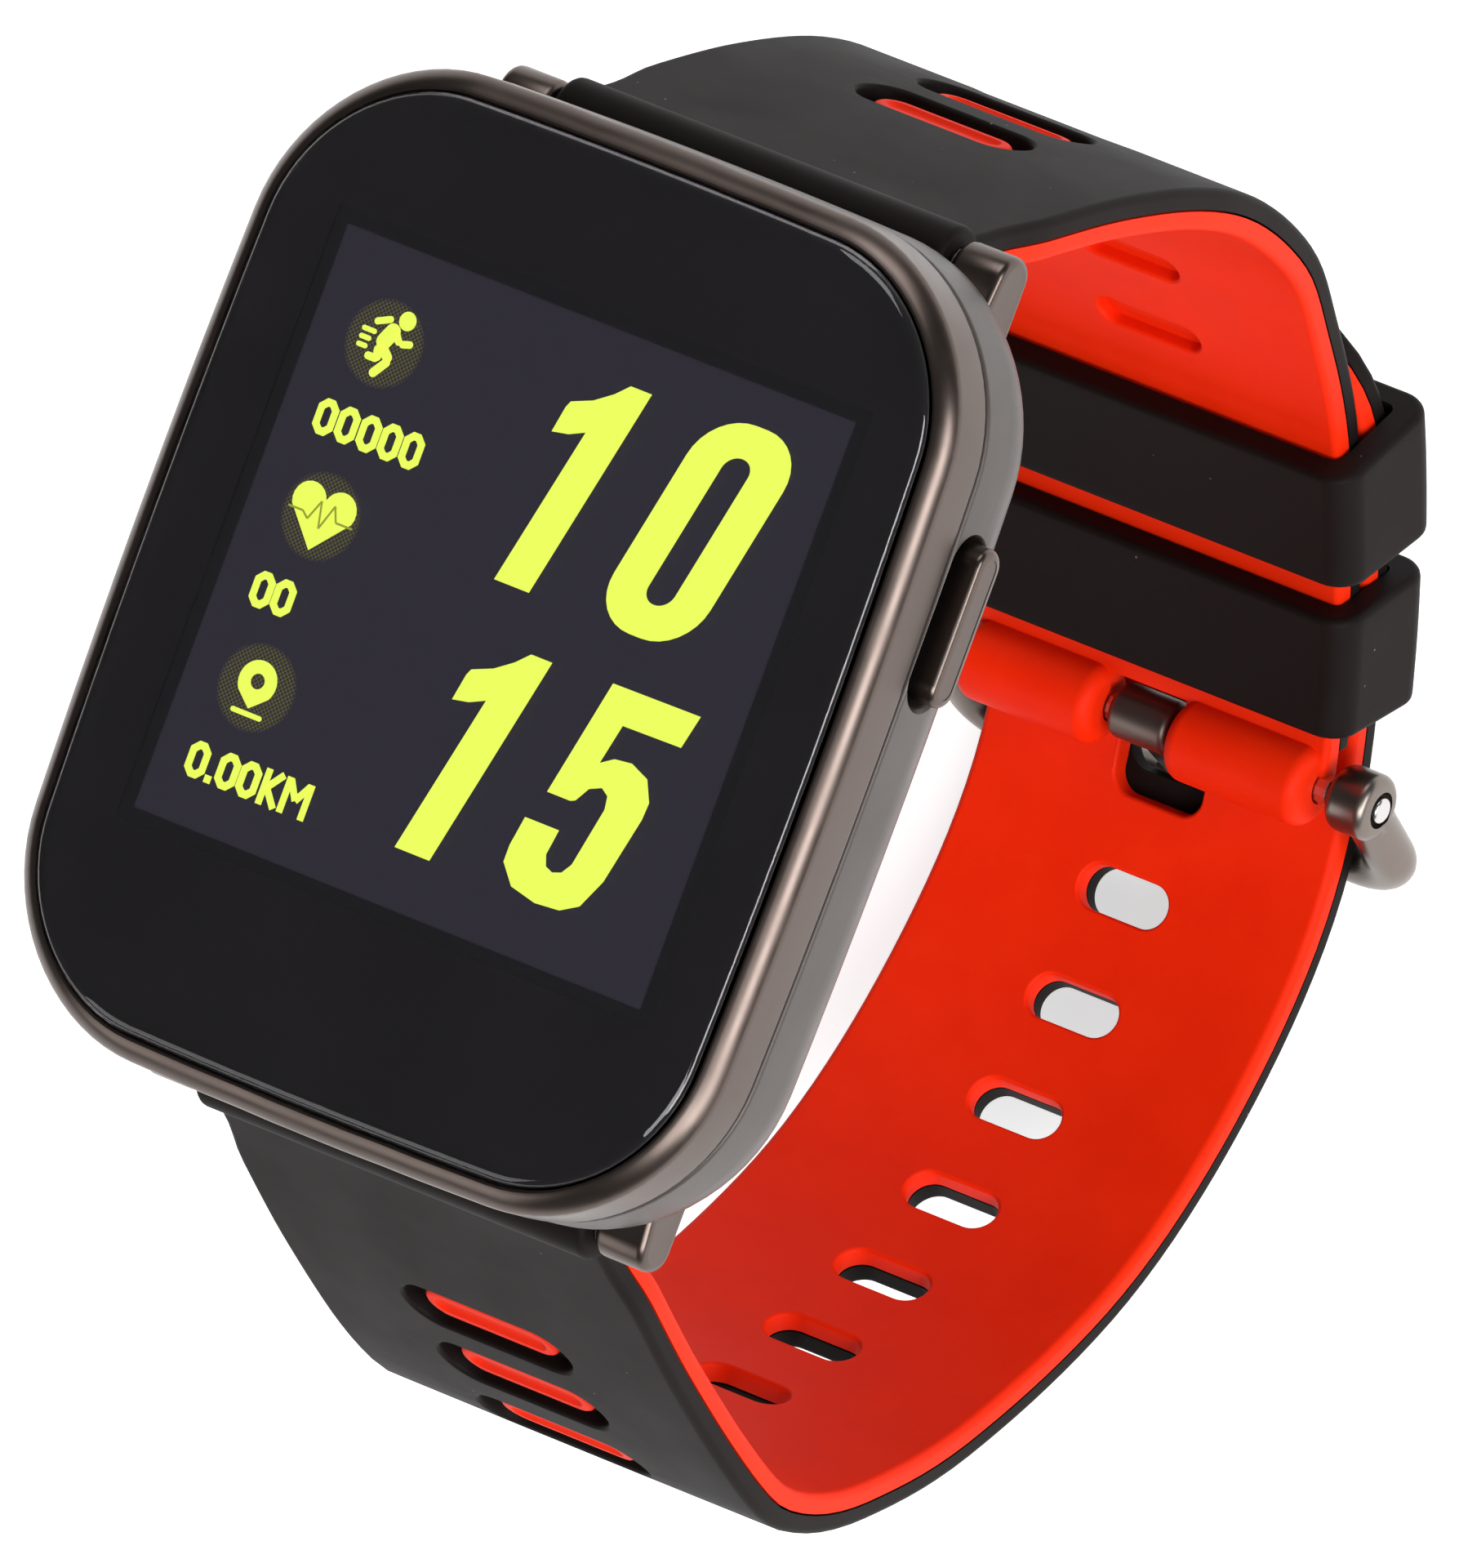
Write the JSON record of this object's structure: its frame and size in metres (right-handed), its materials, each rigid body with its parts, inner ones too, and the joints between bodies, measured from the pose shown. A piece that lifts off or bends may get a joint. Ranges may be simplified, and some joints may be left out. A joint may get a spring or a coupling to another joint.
{
  "type": "gps running watch",
  "caption": "Rectangular digital running watch with a curved black glass, side button and two-colour silicone strap buckled into a wrist loop.",
  "frame": {"origin": "centre of the optical sensor window's wrist face, the flat face on the back of the head that rests on the wrist", "axes": "+Z out of the display glass, +Y towards the 12 o'clock side of the display, +X towards the 3 o'clock side with the button"},
  "size_m": [0.0392, 0.0638, 0.0702],
  "materials": {
    "gunmetal": "dark grey-brown satin plating",
    "steel": "plain turned steel",
    "contact_gold": "gold-plated contact pins",
    "glass": "black-printed cover glass with rounded edges, polished",
    "sensor_glass": "dark polished window over the optical sensor",
    "display": null,
    "case_polymer": "fine-grained grey-brown case",
    "back_polymer": "matt black back cover",
    "switch_polymer": "black switch body",
    "seal_rubber": "black seals",
    "circuit": "green circuit board",
    "battery_foil": "pouch cell foil",
    "antenna_ceramic": "cream ceramic block",
    "silicone_black": "matt black silicone",
    "silicone_orange": "satin orange-red silicone"
  },
  "bodies": {
    "watch": {"back_cover": "back_polymer", "back_gasket": "seal_rubber", "back_screw_1": "steel", "back_screw_2": "steel", "back_screw_3": "steel", "back_screw_4": "steel", "battery": "battery_foil", "bezel_ring": "gunmetal", "buckle_bar_spring": "steel", "buckle_bar_tube": "steel", "button_seal": "seal_rubber", "button_switch": "switch_polymer", "charge_contact_1": "contact_gold", "charge_contact_2": "contact_gold", "charge_contact_3": "contact_gold", "charge_contact_4": "contact_gold", "display_module": "display", "fixed_keeper": "silicone_black", "glass_lens": "glass", "gps_antenna": "antenna_ceramic", "lens_gasket": "seal_rubber", "lower_bar_spring": "steel", "lower_bar_tube": "steel", "lower_strap_inner": "silicone_orange", "lower_strap_outer": "silicone_black", "lug_12_left": "gunmetal", "lug_12_right": "gunmetal", "lug_6_left": "gunmetal", "lug_6_right": "gunmetal", "main_board": "circuit", "mid_case": "case_polymer", "sensor_board": "circuit", "sensor_window": "sensor_glass", "upper_bar_spring": "steel", "upper_bar_tube": "steel", "upper_strap_inner": "silicone_orange", "upper_strap_outer": "silicone_black", "vibration_motor": "steel"},
    "button": {"button": "gunmetal", "button_clip": "steel"},
    "buckle_frame": {"buckle_frame": "gunmetal"},
    "buckle_tongue": {"buckle_tongue": "gunmetal"},
    "free_keeper": {"free_keeper": "silicone_black"},
    "upper_bar_pin_left": {"upper_bar_pin_left": "steel"},
    "upper_bar_pin_right": {"upper_bar_pin_right": "steel"},
    "lower_bar_pin_left": {"lower_bar_pin_left": "steel"},
    "lower_bar_pin_right": {"lower_bar_pin_right": "steel"},
    "buckle_bar_pin_left": {"buckle_bar_pin_left": "steel"},
    "buckle_bar_pin_right": {"buckle_bar_pin_right": "steel"}
  },
  "joints": [
    {"name": "button_press", "type": "slide", "parent": "watch", "child": "button", "axis": [-1, 0, 0], "range_m": [0, 0.0004], "stiffness_N_per_m": 400},
    {"name": "buckle_frame_hinge", "type": "hinge", "parent": "watch", "child": "buckle_frame", "pos_m": [0, 0.0046, -0.04989], "axis": [1, 0, 0], "range_deg": [0, 4]},
    {"name": "buckle_tongue_hinge", "type": "hinge", "parent": "buckle_frame", "child": "buckle_tongue", "pos_m": [0, 0.0046, -0.04989], "axis": [1, 0, 0], "range_deg": [0, 5]},
    {"name": "free_keeper_slide", "type": "hinge", "parent": "watch", "child": "free_keeper", "pos_m": [0, -0.012, -0.00741], "axis": [1, 0, 0], "range_deg": [-1.8, 2.4]},
    {"name": "upper_bar_pin_left_press", "type": "slide", "parent": "watch", "child": "upper_bar_pin_left", "axis": [1, 0, 0], "range_m": [0, 0.001], "stiffness_N_per_m": 600},
    {"name": "upper_bar_pin_right_press", "type": "slide", "parent": "watch", "child": "upper_bar_pin_right", "axis": [-1, 0, 0], "range_m": [0, 0.001], "stiffness_N_per_m": 600},
    {"name": "lower_bar_pin_left_press", "type": "slide", "parent": "watch", "child": "lower_bar_pin_left", "axis": [1, 0, 0], "range_m": [0, 0.001], "stiffness_N_per_m": 600},
    {"name": "lower_bar_pin_right_press", "type": "slide", "parent": "watch", "child": "lower_bar_pin_right", "axis": [-1, 0, 0], "range_m": [0, 0.001], "stiffness_N_per_m": 600},
    {"name": "buckle_bar_pin_left_press", "type": "slide", "parent": "watch", "child": "buckle_bar_pin_left", "axis": [1, 0, 0], "range_m": [0, 0.001], "stiffness_N_per_m": 600},
    {"name": "buckle_bar_pin_right_press", "type": "slide", "parent": "watch", "child": "buckle_bar_pin_right", "axis": [-1, 0, 0], "range_m": [0, 0.001], "stiffness_N_per_m": 600}
  ]
}
